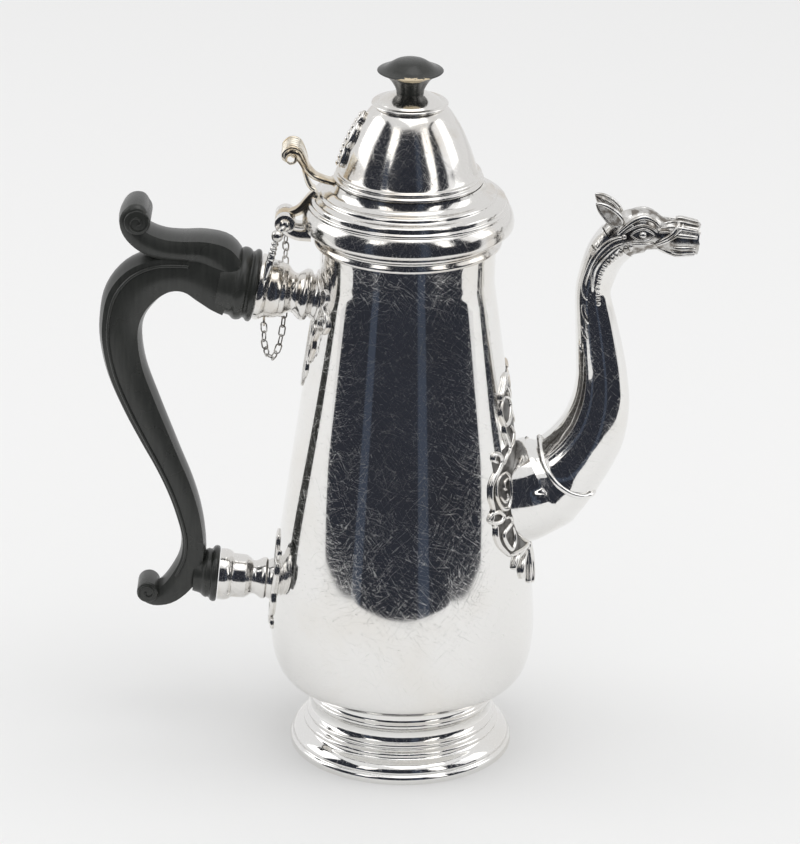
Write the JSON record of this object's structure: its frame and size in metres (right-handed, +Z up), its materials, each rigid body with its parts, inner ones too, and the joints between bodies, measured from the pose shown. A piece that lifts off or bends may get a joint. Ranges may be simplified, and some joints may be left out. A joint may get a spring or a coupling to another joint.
{
  "type": "coffee pot",
  "caption": "Tall silver coffee pot with a hinged domed lid, an ebonised wood scroll handle and a spout ending in a fluted beast's head.",
  "frame": {"origin": "centre of the whole pot's bounding box, at the bottom of its foot", "axes": "+Z up, +X towards the spout with the handle on -X, +Y across the pot"},
  "size_m": [0.2119, 0.0952, 0.26],
  "materials": {
    "silver": "polished silver with fine wear scratches",
    "ebonised_wood": "satin black stain, worn paler at the edges"
  },
  "bodies": {
    "pot": {"body_shell": "silver", "foot": "silver", "rim_moulding": "silver", "body_knuckle_near": "silver", "body_knuckle_far": "silver", "upper_socket": "silver", "lower_socket": "silver", "upper_tenon_pin": "silver", "lower_tenon_pin": "silver", "upper_backplate": "silver", "lower_backplate": "silver", "handle": "ebonised_wood", "spout_lower": "silver", "spout_upper": "silver", "beast_head": "silver", "spout_backplate": "silver", "ear_near": "silver", "ear_far": "silver", "chain_ring": "silver", "chain_staple": "silver", "chain_link_01": "silver", "chain_link_02": "silver", "chain_link_03": "silver", "chain_link_04": "silver", "chain_link_05": "silver", "chain_link_06": "silver", "chain_link_07": "silver", "chain_link_08": "silver", "chain_link_09": "silver", "chain_link_10": "silver", "chain_link_11": "silver", "chain_link_12": "silver", "chain_link_13": "silver", "chain_link_14": "silver", "chain_link_15": "silver", "chain_link_16": "silver", "chain_link_17": "silver", "chain_link_18": "silver", "chain_link_19": "silver", "chain_link_20": "silver", "chain_link_21": "silver", "chain_link_22": "silver"},
    "lid": {"lid_dome": "silver", "lid_flange": "silver", "lid_bezel": "silver", "finial_plate": "silver", "finial_knob": "ebonised_wood", "finial_washer": "silver", "finial_nut": "silver", "finial_screw": "silver", "lid_strap": "silver", "thumbpiece": "silver", "lid_hinge_lug": "silver"},
    "pin": {"hinge_pin": "silver", "pin_drop": "silver"}
  },
  "joints": [
    {"name": "lid_hinge", "type": "hinge", "parent": "pot", "child": "lid", "pos_m": [-0.0401, 0, 0.2005], "axis": [0, -1, 0], "range_deg": [0, 96]},
    {"name": "pin_swing", "type": "hinge", "parent": "pot", "child": "pin", "pos_m": [-0.0401, 0, 0.2005], "axis": [0, 1, 0], "range_deg": [-40, 2]}
  ]
}
